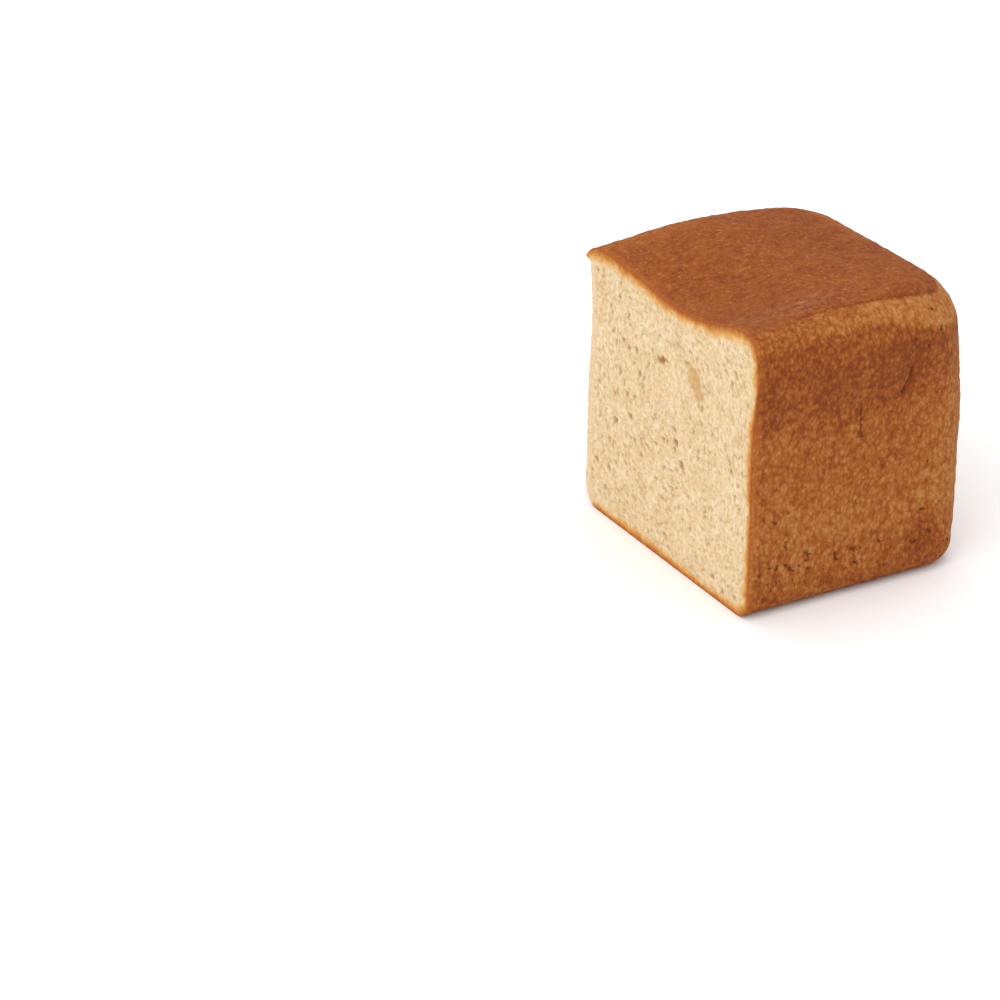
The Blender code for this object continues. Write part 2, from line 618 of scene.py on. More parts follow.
@dataclass
class NodeGroups:
    """The node groups that draw the patterns."""

    mottle_roughness: float = 0.6
    fleck_detail: float = 1.5
    fleck_roughness: float = 0.55
    fleck_softness: float = 0.09
    grain_bend: float = 1.1
    grain_softness: float = 0.45
    grain_middle: float = 0.40
    grain_crown: float = 1.4
    grain_own: float = 0.75

    def __post_init__(self) -> None:
        """Build each group once."""
        self.trees = {Kind.MOTTLE: self._mottle(), Kind.FLECKS: self._flecks(), Kind.GRAINS: self._grains()}

    def draw(self, bench: Bench, pattern: Pattern, place: Socket) -> Socket:
        """Draw a pattern.

        Args:
            bench: The material's bench.
            pattern: The pattern.
            place: Where it is read.

        Returns:
            Its value.
        """
        return bench.node(
            "Group", {"node_tree": self.trees[pattern.kind]},
            Place=place, Per_Metre=pattern.per_metre, Upward_Stretch=pattern.stretch, **pattern.rest,
        ).outputs[0]

    @staticmethod
    def _start(kind: Kind, rest: dict[str, float]) -> tuple[Bench, bpy.types.bpy_prop_collection, Socket]:
        """Open a group.

        Args:
            kind: The kind of pattern, which names the group.
            rest: The inputs that only this group has, with their starting values.

        Returns:
            A bench on the group's tree, what its inputs give, and its place squeezed against the stretch.
        """
        tree = bpy.data.node_groups.new(kind.value, "ShaderNodeTree")
        tree.interface.new_socket("Place", in_out="INPUT", socket_type="NodeSocketVector")
        for label, start in {"Per Metre": 1.0, "Upward Stretch": 1.0, **rest}.items():
            socket = tree.interface.new_socket(label, in_out="INPUT", socket_type="NodeSocketFloat")
            socket.default_value = start
        tree.interface.new_socket("Value", in_out="OUTPUT", socket_type="NodeSocketFloat")
        bench = Bench(tree)
        given = tree.nodes.new("NodeGroupInput").outputs
        flat = bench.maths("DIVIDE", 1.0, given["Upward Stretch"])
        squeeze = bench.node("CombineXYZ", None, X=1.0, Y=1.0, Z=flat).outputs[0]
        return bench, given, bench.vectors("MULTIPLY", given["Place"], squeeze)

    @staticmethod
    def _end(bench: Bench, value: Socket) -> bpy.types.NodeTree:
        """Close a group with the value that it gives."""
        bench.feed(bench.tree.nodes.new("NodeGroupOutput").inputs["Value"], value)
        return bench.tree

    def _mottle(self) -> bpy.types.NodeTree:
        """Make uneven cloudy tone around 0."""
        bench, given, place = self._start(Kind.MOTTLE, {"Detail": 3.0, "Strength": 1.0})
        cloud = bench.node(
            "TexNoise", None, Vector=place, Scale=given["Per Metre"], Detail=given["Detail"],
            Roughness=self.mottle_roughness,
        )
        doubled = bench.times(bench.minus(cloud.outputs["Fac"], 0.5), 2.0)
        return self._end(bench, bench.times(doubled, given["Strength"]))

    def _flecks(self) -> bpy.types.NodeTree:
        """Make separate irregular little spots, where curled noise stands above a level."""
        bench, given, place = self._start(Kind.FLECKS, {"Curl": 0.8, "Level": 0.60})
        cloud = bench.node(
            "TexNoise", None, Vector=place, Scale=given["Per Metre"], Detail=self.fleck_detail,
            Roughness=self.fleck_roughness, Distortion=given["Curl"],
        )
        span = (given["Level"], bench.plus(given["Level"], self.fleck_softness))
        return self._end(bench, bench.ranged(cloud.outputs["Fac"], span, 0.0, 1.0))

    def _grains(self) -> bpy.types.NodeTree:
        """Make small crowded blisters: below 0 on each one's crown and above 0 in the gaps between them."""
        bench, given, place = self._start(Kind.GRAINS, {"Strength": 1.0})
        bend = bench.node("TexNoise", None, Vector=place, Scale=given["Per Metre"], Detail=1.0)
        size = bench.maths("DIVIDE", self.grain_bend, given["Per Metre"])
        bent = bench.vectors("ADD", place, bench.vectors("MULTIPLY", bend.outputs["Color"], size))
        cells = bench.node(
            "TexVoronoi", {"feature": "SMOOTH_F1"}, Vector=bent, Scale=given["Per Metre"],
            Smoothness=self.grain_softness,
        )
        own = bench.minus(bench.node("SeparateColor", None, Color=cells.outputs["Color"]).outputs[0], 0.5)
        crown = bench.minus(cells.outputs["Distance"], self.grain_middle)
        tone = bench.plus(bench.times(crown, self.grain_crown), bench.times(own, self.grain_own))
        return self._end(bench, bench.times(tone, given["Strength"]))


@dataclass(frozen=True)
class CrustFinish:
    """Baked crust, finely grained: golden where tin or lid stood off, red-brown where they lay close."""

    groups: NodeGroups
    tones: Stops = (
        (0.00, (0.440, 0.197, 0.058)),
        (0.25, (0.384, 0.145, 0.035)),
        (0.50, (0.330, 0.099, 0.018)),
        (0.75, (0.266, 0.067, 0.012)),
        (1.00, (0.192, 0.043, 0.009)),
    )
    pit_colour: Colour = (0.105, 0.025, 0.007)
    fleck_colour: Colour = (0.475, 0.208, 0.085)
    rim_colour: Colour = (0.385, 0.088, 0.011)
    # Painted sheen: a greyish colour that stands for the top crust's glossy reflection of the white room
    painted_sheen_colour: Colour = (0.385, 0.195, 0.120)
    cloud: Pattern = Pattern(Kind.MOTTLE, 150.0, rest={"Strength": 0.20})
    mottle: Pattern = Pattern(Kind.MOTTLE, 420.0, 1.35, {"Strength": 0.42})
    grain: Pattern = Pattern(Kind.GRAINS, 820.0, 1.35, {"Strength": 0.50})
    fine: Pattern = Pattern(Kind.MOTTLE, 1500.0, rest={"Detail": 1.0, "Strength": 0.90})
    light: Pattern = Pattern(Kind.FLECKS, 700.0, 1.35, {"Curl": 0.3, "Level": 0.610})
    dark: Pattern = Pattern(Kind.FLECKS, 520.0, 1.35, {"Curl": 0.4, "Level": 0.640})
    dark_aside: Spot = (0.31, 0.17, 0.23)
    pattern_on_top: float = 0.52
    light_share: float = 0.40
    light_tones: Pair = (0.50, 0.78)
    light_in_dark: float = 0.20
    light_on_top: float = 0.90
    dark_share: float = 0.42
    mottle_bite: float = 1.2
    painted_sheen_span: Pair = (0.20, 1.10)
    painted_sheen_share: float = 0.42
    rim_span: Pair = (0.25, 1.15)
    rim_share: float = 0.50
    pit_span: Pair = (0.36, 0.90)
    pit_start: Pair = (0.0, 0.25)
    pit_share: float = 0.85
    roughness: float = 0.72
    sheen_roughness: float = 0.52
    grain_roughness: float = 0.15
    specular: float = 0.11
    light_height: float = 0.05
    dark_depth: float = 0.12
    grain_depth: float = 1.3
    bump: Pair = (0.20, 0.0004)

    def material(self) -> bpy.types.Material:
        """Build the material.

        Returns:
            The material.
        """
        made, shader = plain_material("baked_crust", self.roughness, self.specular)
        bench = Bench(made.node_tree)
        place = bench.node("TexCoord").outputs["Object"]
        aside = bench.vectors("ADD", place, self.dark_aside)
        cloud, mottle, grain, fine, light = (
            self.groups.draw(bench, pattern, place)
            for pattern in (self.cloud, self.mottle, self.grain, self.fine, self.light)
        )
        dark = self.groups.draw(bench, self.dark, aside)
        tone, calm, sheen = (bench.mark(mark) for mark in (Mark.TONE, Mark.CALM, Mark.GLOSS_AND_PAINTED_SHEEN))
        strength = bench.ranged(calm, (0.0, 1.0), 1.0, self.pattern_on_top)
        grain, mottle, dark = (bench.times(value, strength) for value in (grain, mottle, dark))
        light = bench.times(light, self.light_strength(bench, tone, calm))
        baked = bench.plus(bench.plus(tone, cloud), bench.plus(grain, mottle), clamp=True)
        colour = bench.ramp(baked, self.tones)
        colour = bench.mixed(bench.times(light, self.light_share), colour, self.fleck_colour)
        colour = bench.mixed(bench.times(dark, self.dark_share), colour, self.pit_colour)
        bite = bench.times(mottle, self.mottle_bite)
        # Painted sheen: the gloss mask and the mottle mix a greyish painted reflection into the crust's
        # colour
        painted_sheen = bench.minus(bench.plus(sheen, bite), grain)
        painted_sheen = bench.ranged(painted_sheen, self.painted_sheen_span, 0.0, self.painted_sheen_share)
        colour = bench.mixed(painted_sheen, colour, self.painted_sheen_colour)
        rim = bench.minus(bench.mark(Mark.RIM), bite)
        colour = bench.mixed(bench.ranged(rim, self.rim_span, 0.0, self.rim_share), colour, self.rim_colour)
        colour = bench.mixed(self.pits(bench, bench.plus(grain, fine)), colour, self.pit_colour)
        gloss = bench.times(sheen, self.sheen_roughness - self.roughness)
        rough = bench.plus(bench.plus(gloss, self.roughness), bench.times(grain, self.grain_roughness))
        bench.feed(shader.inputs["Roughness"], rough)
        height = bench.minus(bench.times(light, self.light_height), bench.times(dark, self.dark_depth))
        bench.dress(shader, colour, bench.minus(height, bench.times(grain, self.grain_depth)), self.bump)
        return made

    def light_strength(self, bench: Bench, tone: Socket, calm: Socket) -> Socket:
        """Say how strongly the light flecks show: less on a dark wall, but well on the calm top."""
        on_wall = bench.ranged(tone, self.light_tones, 1.0, self.light_in_dark)
        return bench.maths("MAXIMUM", on_wall, bench.times(calm, self.light_on_top))

    def pits(self, bench: Bench, raggedness: Socket) -> Socket:
        """Say how strongly the pits' colour shows, with ragged edges."""
        mark = bench.mark(Mark.PIT)
        ragged = bench.ranged(bench.plus(mark, raggedness), self.pit_span, 0.0, self.pit_share)
        return bench.times(ragged, bench.ranged(mark, self.pit_start, 0.0, 1.0))


@dataclass(frozen=True)
class CrumbFinish:
    """Cut crumb: cream with tan pores and bran specks, and golden to brown across the crust's edge."""

    groups: NodeGroups
    tones: Stops = (
        (0.00, (0.770, 0.640, 0.440)),
        (0.45, (0.692, 0.530, 0.325)),
        (0.75, (0.600, 0.425, 0.230)),
        (1.00, (0.480, 0.308, 0.140)),
    )
    section: Stops = (
        (0.05, (0.690, 0.485, 0.255)),
        (0.32, (0.665, 0.420, 0.175)),
        (0.56, (0.610, 0.310, 0.095)),
        (0.78, (0.470, 0.175, 0.040)),
        (1.00, (0.330, 0.090, 0.016)),
    )
    rosy: Colour = (0.710, 0.480, 0.300)
    olive: Colour = (0.600, 0.445, 0.215)
    far_skin_colour: Colour = (0.730, 0.515, 0.335)
    pore_colour: Colour = (0.350, 0.175, 0.055)
    hollow_colour: Colour = (0.530, 0.315, 0.120)
    bran_colour: Colour = (0.400, 0.230, 0.105)
    cloud: Pattern = Pattern(Kind.MOTTLE, 120.0, rest={"Strength": 0.40})
    grain: Pattern = Pattern(Kind.MOTTLE, 600.0, rest={"Detail": 2.0, "Strength": 0.80})
    hue: Pattern = Pattern(Kind.MOTTLE, 400.0, 1.4, {"Detail": 2.0})
    bran: Pattern = Pattern(Kind.FLECKS, 560.0, rest={"Level": 0.665})
    holes: Pattern = Pattern(Kind.FLECKS, 720.0, 0.8, {"Level": 0.575})
    middle_tone: float = 0.42
    rosy_span: Pair = (0.02, 0.36)
    rosy_share: float = 0.75
    olive_span: Pair = (-0.02, -0.36)
    olive_share: float = 0.55
    hole_share: float = 0.52
    bran_share: float = 0.45
    section_grain: float = 0.25
    section_start: Pair = (0.0, 0.20)
    section_span: Pair = (0.02, 0.60)
    roughness: float = 0.92
    specular: float = 0.10
    grain_height: float = -0.8
    bump: Pair = (0.15, 0.0005)

    def material(self) -> bpy.types.Material:
        """Build the material.

        Returns:
            The material.
        """
        made, shader = plain_material("cut_crumb", self.roughness, self.specular)
        bench = Bench(made.node_tree)
        place = bench.node("TexCoord").outputs["Object"]
        cloud, grain, hue, bran, holes = (
            self.groups.draw(bench, pattern, place)
            for pattern in (self.cloud, self.grain, self.hue, self.bran, self.holes)
        )
        shade = bench.plus(cloud, bench.plus(grain, bench.mark(Mark.FIBRE)))
        colour = bench.ramp(bench.plus(shade, self.middle_tone, clamp=True), self.tones)
        depth = self.depth(bench, grain)
        for share, over in (
            (bench.ranged(hue, self.rosy_span, 0.0, self.rosy_share), self.rosy),
            (bench.ranged(hue, self.olive_span, 0.0, self.olive_share), self.olive),
            (bench.mark(Mark.FAR_SKIN), self.far_skin_colour),
            (bench.mark(Mark.HOLLOW), self.hollow_colour),
            (bench.times(holes, self.hole_share), self.tones[-1][1]),
            (bench.mark(Mark.PORE), self.pore_colour),
            (bench.times(bran, self.bran_share), self.bran_colour),
            (bench.ranged(depth, self.section_span, 0.0, 1.0), bench.ramp(depth, self.section)),
        ):
            colour = bench.mixed(share, colour, over)
        bench.dress(shader, colour, bench.minus(bench.times(grain, self.grain_height), holes), self.bump)
        return made

    def depth(self, bench: Bench, grain: Socket) -> Socket:
        """Say how far the crumb has turned to crust, with an uneven edge."""
        mark = bench.mark(Mark.SECTION)
        uneven = bench.plus(mark, bench.times(grain, self.section_grain), clamp=True)
        return bench.times(uneven, bench.ranged(mark, self.section_start, 0.0, 1.0))


@dataclass(frozen=True)
class Dent:
    """A hole or crease in the near side wall: its ends along X and Z, its half width and its depth."""

    start: Pair
    end: Pair
    half_width: float
    depth: float

    def strength(self, places: Array) -> Array:
        """Say how much of the dent's depth places along X and Z have, from 0 to 1."""
        away, _ = beside(places, np.array(self.start), np.array(self.end))
        return 1.0 - smooth(away / self.half_width)


@dataclass(frozen=True)
class BakeMap:
    """How dark the outside is baked, from 0, golden, to 1, dark, where the lid has pressed it, and where the
    top gets its gloss and painted sheen.
    """

    form: TinForm
    wall_tones: Line = (
        (0.000, 0.66), (0.007, 0.56), (0.016, 0.42), (0.026, 0.37), (0.045, 0.46), (0.058, 0.52),
        (0.066, 0.60), (0.075, 0.76), (0.087, 0.80), (0.094, 0.70), (0.099, 0.62),
    )
    heel_paling: float = 0.16
    paling_along: Pair = (0.020, 0.012)
    paling_up: Pair = (0.020, 0.010)
    foot_patch: float = 0.34
    patch_along: Pair = (0.0240, 0.0080)
    patch_up: Pair = (0.0170, 0.0095)
    top_tone: float = 0.73
    top_edge_lift: float = 0.16
    top_edge_run: Pair = (0.001, 0.010)
    top_start: Pair = (0.085, 0.004)
    lid_insets: Pair = (0.0045, 0.0077)
    lid_step: Pair = (-0.0006, 0.0012)
    corner_inset: float = -0.0030
    corner_steepness: float = 1.3
    band_along: Pair = (-0.0380, 0.0220)
    band_tones: Pair = (0.50, 0.20)
    band_tones_along: Pair = (-0.040, 0.075)
    band_foot: float = 0.0968
    band_sink: float = 0.0075
    band_sink_run: float = 0.034
    band_step: Pair = (-0.0013, 0.0026)
    band_waver: Lumps = Lumps(0.006, 0.0010, 14)
    crest_line: float = 0.16
    crest: Pair = (0.0004, 0.0007)
    crest_along: Pair = (-0.030, 0.020)
    cut_paling: float = 0.20
    cut_paling_run: float = 0.0016
    cut_line: Pair = (0.0045, 0.0030)
    cut_line_tones: Pair = (0.05, -0.07)
    clouds: tuple[Lumps, ...] = (Lumps(0.021, 0.07, 11), Lumps(0.008, 0.06, 12))
    calm_inset: Pair = (0.0, 0.003)
    calm_up: Pair = (0.088, 0.004)
    # Where the top is glossier and carries its painted sheen, a painted reflection, along the near shoulder
    # by the cut
    sheen_across: Pair = (-0.036, 0.010)
    sheen_along: Pair = (-0.020, 0.022)
    sheen_ends: Pair = (0.45, 1.0)
    faint_sheen: float = 0.25
    faint_sheen_across: Pair = (0.010, 0.030)
    sheen_level: float = 0.35
    strokes: Lumps = Lumps(0.0016, 0.75, 21)
    stroke_squeeze: Spot = (0.25, 1.0, 1.0)
    patches: Lumps = Lumps(0.008, 0.60, 22)

    def past_corner(self, points: Array) -> tuple[Array, Array]:
        """Measure how far points lie past the centres of the heel's rounded corners, along and across."""
        radius = self.form.heel_corner_radius[1]
        past_x = points[:, 0] - (self.form.length / 2 - radius)
        return past_x, np.abs(points[:, 1]) - (self.form.width / 2 - radius)

    def inset(self, points: Array) -> Array:
        """Measure how far points lie inside the block's outline, seen from above.

        Args:
            points: Points on the crust, one in each row.

        Returns:
            Their distances from the outline.
        """
        past_x, past_y = self.past_corner(points)
        in_corner = (past_x > 0.0) & (past_y > 0.0)
        past = np.where(in_corner, np.hypot(past_x, past_y), np.maximum(past_x, past_y))
        return self.form.heel_corner_radius[1] - past

    def past_lid_edge(self, points: Array) -> Array:
        """Measure how far points lie inside the edge of the lid's flat, where the golden shoulder begins.

        Args:
            points: Points on the crust, one in each row.

        Returns:
            Their distances from that edge, below 0 outside it.
        """
        past_x, past_y = self.past_corner(points)
        steepness = self.corner_steepness / self.form.heel_corner_radius[1]
        corner = smooth(steepness * past_x) * smooth(steepness * past_y)
        edge = between(self.lid_insets, rise(points[:, 0], self.band_along)) + self.corner_inset * corner
        return self.inset(points) - edge

    def band(self, points: Array) -> Array:
        """Say where the golden shoulder is, outside the lid's flat and above the tin's wall.

        Args:
            points: Points on the crust, one in each row.

        Returns:
            The shoulder's share of each point, from 0 to 1.
        """
        foot = self.band_foot - self.band_sink * smooth(points[:, 0] / self.band_sink_run)
        above = rise(points[:, 2] - foot - self.band_waver.at(points), self.band_step)
        return above * rise(-self.past_lid_edge(points), self.lid_step)

    def wall(self, points: Array) -> Array:
        """Say how dark the walls are baked: paler towards the heel, with a dark patch low on the near wall.

        Args:
            points: Points on the crust, one in each row.

        Returns:
            The tone at each point.
        """
        x, y, z = points.T
        tone = np.interp(z, *zip(*self.wall_tones))
        tone -= self.heel_paling * rise(x, self.paling_along) * rise(z, self.paling_up)
        return tone + self.foot_patch * bell(x, self.patch_along) * bell(z, self.patch_up) * (y < 0.0)

    def tone(self, points: Array) -> Array:
        """Say how dark the crust is baked.

        Args:
            points: Points on the crust, one in each row.

        Returns:
            The tone at each point.
        """
        x, y, z = points.T
        past_edge = self.past_lid_edge(points)
        tone = self.wall(points)
        far_edge = (1.0 - rise(past_edge, self.top_edge_run)) * (y >= 0.0)
        above = rise(z, self.top_start)
        on_top = rise(past_edge, self.lid_step) * above
        tone += (self.top_tone - self.top_edge_lift * far_edge - tone) * on_top
        golden = between(self.band_tones, rise(x, self.band_tones_along))
        tone += (golden - tone) * self.band(points)
        tone += self.crest_line * bell(past_edge, self.crest) * above * rise(x, self.crest_along)
        from_cut = x + self.form.length / 2
        tone -= self.cut_paling * hump(from_cut, self.cut_paling_run)
        tone += between(self.cut_line_tones, on_top) * bell(from_cut, self.cut_line)
        return tone + sum(cloud.at(points) for cloud in self.clouds)

    def sheen(self, points: Array) -> Array:
        """Say where the top crust is glossier and where its greyish painted sheen, a painted reflection,
        goes, in short strokes.

        Args:
            points: Points on the crust, one in each row.

        Returns:
            The gloss and painted sheen at each point, from 0 to 1.
        """
        x, y = points[:, 0], points[:, 1]
        place = bell(y, self.sheen_across) * between(self.sheen_ends, bell(x, self.sheen_along))
        place += self.faint_sheen * bell(y, self.faint_sheen_across)
        strokes = self.strokes.at(points * np.array(self.stroke_squeeze))
        uneven = self.sheen_level + self.patches.at(points) + strokes
        return self.calm(points) * np.clip(place * uneven, 0.0, 1.0)

    def calm(self, points: Array) -> Array:
        """Say where the lid has pressed the top crust smooth, from 0 to 1."""
        return rise(self.past_lid_edge(points), self.calm_inset) * rise(points[:, 2], self.calm_up)


@dataclass
class CrustShell:
    """The baked outside: top, side walls, heel and base, from the cut's edge round to the heel."""

    place: LoafPlace
    finish: CrustFinish
    ragged: Ragged
    cuts: int = 137
    rim_fade: float = 0.0012
    rim_run: float = 0.0052
    relief: tuple[Lumps, ...] = (
        Lumps(0.0130, 0.00018, 1), Lumps(0.0042, 0.00011, 2), Lumps(0.0019, 0.00007, 3),
    )
    pit_size: float = 0.0034
    pit_edge: Pair = (0.08, 0.30)
    pit_depth: float = 0.00060
    pit_patches: Lumps = Lumps(0.00816, 1.0, 7)
    pit_patch_edge: Pair = (0.02, 0.15)
    pits_foot: Pair = (0.0040, 0.0040)
    pits_top: Pair = (0.0110, 0.0120)
    near_wall: Pair = (0.0440, 0.0020)
    dents: tuple[Dent, ...] = (
        Dent((0.0158, 0.0790), (0.0153, 0.0748), 0.0009, 0.0010),
        Dent((0.0153, 0.0748), (0.0136, 0.0722), 0.0011, 0.0012),
        Dent((0.0136, 0.0722), (0.0124, 0.0704), 0.0008, 0.0008),
        Dent((0.0163, 0.0888), (0.0161, 0.0874), 0.0013, 0.0010),
        Dent((0.0213, 0.0856), (0.0224, 0.0848), 0.0011, 0.0007),
        Dent((0.0277, 0.0898), (0.0281, 0.0890), 0.0015, 0.0015),
        Dent((0.0262, 0.0895), (0.0264, 0.0892), 0.0010, 0.0007),
        Dent((0.0259, 0.0960), (0.0264, 0.0957), 0.0010, 0.0008),
        Dent((-0.0035, 0.0700), (-0.0029, 0.0565), 0.0008, 0.0003),
        Dent((-0.0342, 0.0170), (-0.0335, 0.0176), 0.0010, 0.0008),
        Dent((-0.0364, 0.0178), (-0.0372, 0.0174), 0.0010, 0.0008),
        Dent((-0.0293, 0.0166), (-0.0288, 0.0156), 0.0011, 0.0009),
        Dent((-0.0407, 0.0164), (-0.0409, 0.0160), 0.0010, 0.0007),
        Dent((-0.0308, 0.0242), (-0.0300, 0.0232), 0.0012, 0.0008),
        Dent((-0.0224, 0.0200), (-0.0216, 0.0186), 0.0012, 0.0009),
        Dent((-0.0219, 0.0144), (-0.0216, 0.0140), 0.0010, 0.0007),
        Dent((-0.0110, 0.0170), (-0.0107, 0.0148), 0.0011, 0.0009),
        Dent((-0.0052, 0.0174), (-0.0030, 0.0168), 0.0011, 0.0008),
        Dent((-0.0036, 0.0342), (-0.0033, 0.0336), 0.0010, 0.0007),
        Dent((0.0063, 0.0173), (0.0069, 0.0170), 0.0009, 0.0006),
        Dent((0.0196, 0.0140), (0.0208, 0.0130), 0.0013, 0.0010),
        Dent((0.0226, 0.0250), (0.0238, 0.0246), 0.0011, 0.0007),
        Dent((0.0264, 0.0164), (0.0272, 0.0152), 0.0012, 0.0009),
        Dent((0.0302, 0.0262), (0.0310, 0.0258), 0.0009, 0.0006),
        Dent((-0.0400, 0.0370), (-0.0396, 0.0362), 0.0009, 0.0005),
        Dent((-0.0360, 0.0345), (-0.0350, 0.0342), 0.0009, 0.0005),
    )
    specks: Line = (
        (-0.0344, 0.0187), (-0.0306, 0.0177), (-0.0277, 0.0147), (-0.0253, 0.0160), (-0.0227, 0.0175),
        (-0.0209, 0.0196), (-0.0428, 0.0147), (-0.0328, 0.0120), (-0.0370, 0.0117), (-0.0267, 0.0090),
        (-0.0280, 0.0122), (-0.0393, 0.0086), (-0.0015, 0.0162), (-0.0308, 0.0261), (0.0247, 0.0423),
    )
    speck_half_width: float = 0.0010
    speck_depth: float = 0.0004

    def build(self) -> None:
        """Make the shell and hand it over."""
        piece = as_object("crust", self.grid())
        mesh = piece.data
        base = self.place.surface(read(mesh, "co") + 0.5)
        move_to(mesh, base)
        normals = read(mesh, "normal")
        pit_share, pit_depth = self.pits(base)
        relief = sum(lumps.at(base) for lumps in self.relief) - pit_depth
        from_cut = base[:, 0] - self.place.cut
        fade = self.ragged.fade(base, from_cut, self.rim_fade)
        move_to(mesh, base + self.ragged.shift(base) + normals * (relief * fade)[:, None])
        baked = BakeMap(self.place.form)
        store(mesh, Mark.TONE, baked.tone(base))
        store(mesh, Mark.PIT, pit_share * fade)
        # The gloss mask, which also places the painted sheen in the crust's colour
        store(mesh, Mark.GLOSS_AND_PAINTED_SHEEN, baked.sheen(base))
        store(mesh, Mark.CALM, baked.calm(base))
        store(mesh, Mark.RIM, 1.0 - smooth(from_cut / self.rim_run))
        hand_over(piece, self.finish.material())

    def grid(self) -> bmesh.types.BMesh:
        """Make an even grid on five faces of a unit cube; the sixth is the cut's.

        Returns:
            The grid.
        """
        shaped = bmesh.new()
        bmesh.ops.create_cube(shaped, size=1.0)
        bmesh.ops.subdivide_edges(shaped, edges=shaped.edges[:], cuts=self.cuts, use_grid_fill=True)
        cut_faces = [face for face in shaped.faces if face.normal.x < -0.5]
        bmesh.ops.delete(shaped, geom=cut_faces, context="FACES")
        return shaped

    def pits(self, points: Array) -> tuple[Array, Array]:
        """Find the open pits near the foot of the walls, and the cracks and holes of the near wall.

        Args:
            points: The shell's points.

        Returns:
            Each point's share of a pit, from 0 to 1, and the pit's depth there.
        """
        apart = np.array([noise.voronoi(place)[0][0] for place in (points / self.pit_size).tolist()])
        share = (1.0 - rise(apart, self.pit_edge)) * rise(self.pit_patches.at(points), self.pit_patch_edge)
        share *= (1.0 - rise(points[:, 2], self.pits_top)) * rise(points[:, 2], self.pits_foot)
        depth = share * self.pit_depth
        on_near_wall = rise(-points[:, 1], self.near_wall)
        specks = [Dent(place, place, self.speck_half_width, self.speck_depth) for place in self.specks]
        for dent in (*self.dents, *specks):
            found = dent.strength(points[:, ::2]) * on_near_wall
            share = np.maximum(share, found)
            depth = np.maximum(depth, found * dent.depth)
        return share, depth


@dataclass(frozen=True)
class Swirl:
    """The coil that moulding leaves in the dough, seen across the cut face; places on it go across and up."""

    centre: Pair = (-0.0040, 0.0560)
    squareness: float = 3.0
    layer: float = 0.0011
    run: float = 0.0040
    arch_line: Line = (
        (0.0105, 0.0700), (0.0062, 0.0751), (0.0026, 0.0786),
        (-0.0024, 0.0813), (-0.0061, 0.0806), (-0.0080, 0.0775),
    )
    arch_width: float = 0.0012
    arch_depth: float = 0.0006
    arch_shade: float = 0.42
    arch_levels: Pair = (0.55, 0.45)
    arch_waves: float = 9.0
    hollow_line: Line = (
        (-0.0078, 0.0772), (-0.0112, 0.0746), (-0.0138, 0.0722), (-0.0156, 0.0688), (-0.0168, 0.0640),
    )
    hollow_half_width: float = 0.0054
    hollow_depth: float = 0.0012
    hollow_lean: float = 0.85
    hollow_tip: float = 0.05
    hollow_edge: Lumps = Lumps(0.0020, 0.30, 35)
    dense_centre: Pair = (-0.0020, 0.0660)
    dense_radius: Pair = (0.0125, 0.0130)
    dense_edge: Pair = (0.55, 0.6)

    def directions(self, places: Array) -> Array:
        """Give the directions in which the layers run, as angles.

        Args:
            places: Places on the face, one in each row.

        Returns:
            The angle at each place.
        """
        off = places - np.array(self.centre)
        out = np.copysign(np.abs(off) ** (self.squareness - 1.0), off)
        return np.arctan2(out[:, 0], -out[:, 1])

    def fibres(self, places: Array, seed: int) -> Array:
        """Read noise that is drawn out along the layers, which are squarish rings.

        Args:
            places: Places on the face, one in each row.
            seed: Another number gives other noise.

        Returns:
            The noise at each place, between about -1 and 1.
        """
        off = places - np.array(self.centre)
        ring = (np.abs(off) ** self.squareness).sum(axis=1) ** (1.0 / self.squareness)
        angle = np.arctan2(off[:, 1], off[:, 0])
        turns = self.centre[1] / self.run
        unrolled = np.stack([ring / self.layer, np.cos(angle) * turns, np.sin(angle) * turns], axis=1)
        return Lumps(1.0, 1.0, seed).at(unrolled)

    @staticmethod
    def beside_line(places: Array, line: Line) -> tuple[Array, Array]:
        """Measure how each place lies to a bent line.

        Args:
            places: Places on the face, one in each row.
            line: The line's points.

        Returns:
            Their distances from the line, and their shares of the way along it.
        """
        points = np.array(line)
        lengths = np.hypot(*np.diff(points, axis=0).T)
        passed = np.concatenate([[0.0], np.cumsum(lengths)])
        distance = np.full(len(places), np.inf)
        share = np.zeros(len(places))
        for start, end, length, before in zip(points, points[1:], lengths, passed):
            away, on_run = beside(places, start, end)
            share = np.where(away < distance, (before + on_run * length) / passed[-1], share)
            distance = np.minimum(distance, away)
        return distance, share

    def arch(self, places: Array) -> Array:
        """Say how deep the arched crease is, from 0 to 1."""
        distance, share = self.beside_line(places, self.arch_line)
        levels = self.arch_levels[0] + self.arch_levels[1] * np.cos(self.arch_waves * share)
        return hump(distance, self.arch_width) * levels

    def hollow(self, places: Array) -> Array:
        """Say how deep the long hollow beside the arch is.

        Args:
            places: Places on the face, one in each row.

        Returns:
            The hollow's share of each place, from 0 to 1.
        """
        distance, share = self.beside_line(places, self.hollow_line)
        uneven = 1.0 + self.hollow_edge.at(np.pad(places, ((0, 0), (0, 1))))
        taper = np.clip(np.sin(np.pi * share**self.hollow_lean), self.hollow_tip, 1.0)
        return 1.0 - smooth(distance / (self.hollow_half_width * taper * uneven))

    def inside(self, places: Array) -> Array:
        """Say where the crumb under the arch is dense and smooth, from 0 to 1."""
        off = (places - np.array(self.dense_centre)) / np.array(self.dense_radius)
        return 1.0 - rise(np.hypot(*off.T), self.dense_edge)


@dataclass(frozen=True)
class PoreKind:
    """One size of pore: how many, how wide and long, how deep and how dark."""

    count: int
    radius: Pair
    stretch: Pair
    depth: float
    shade: float


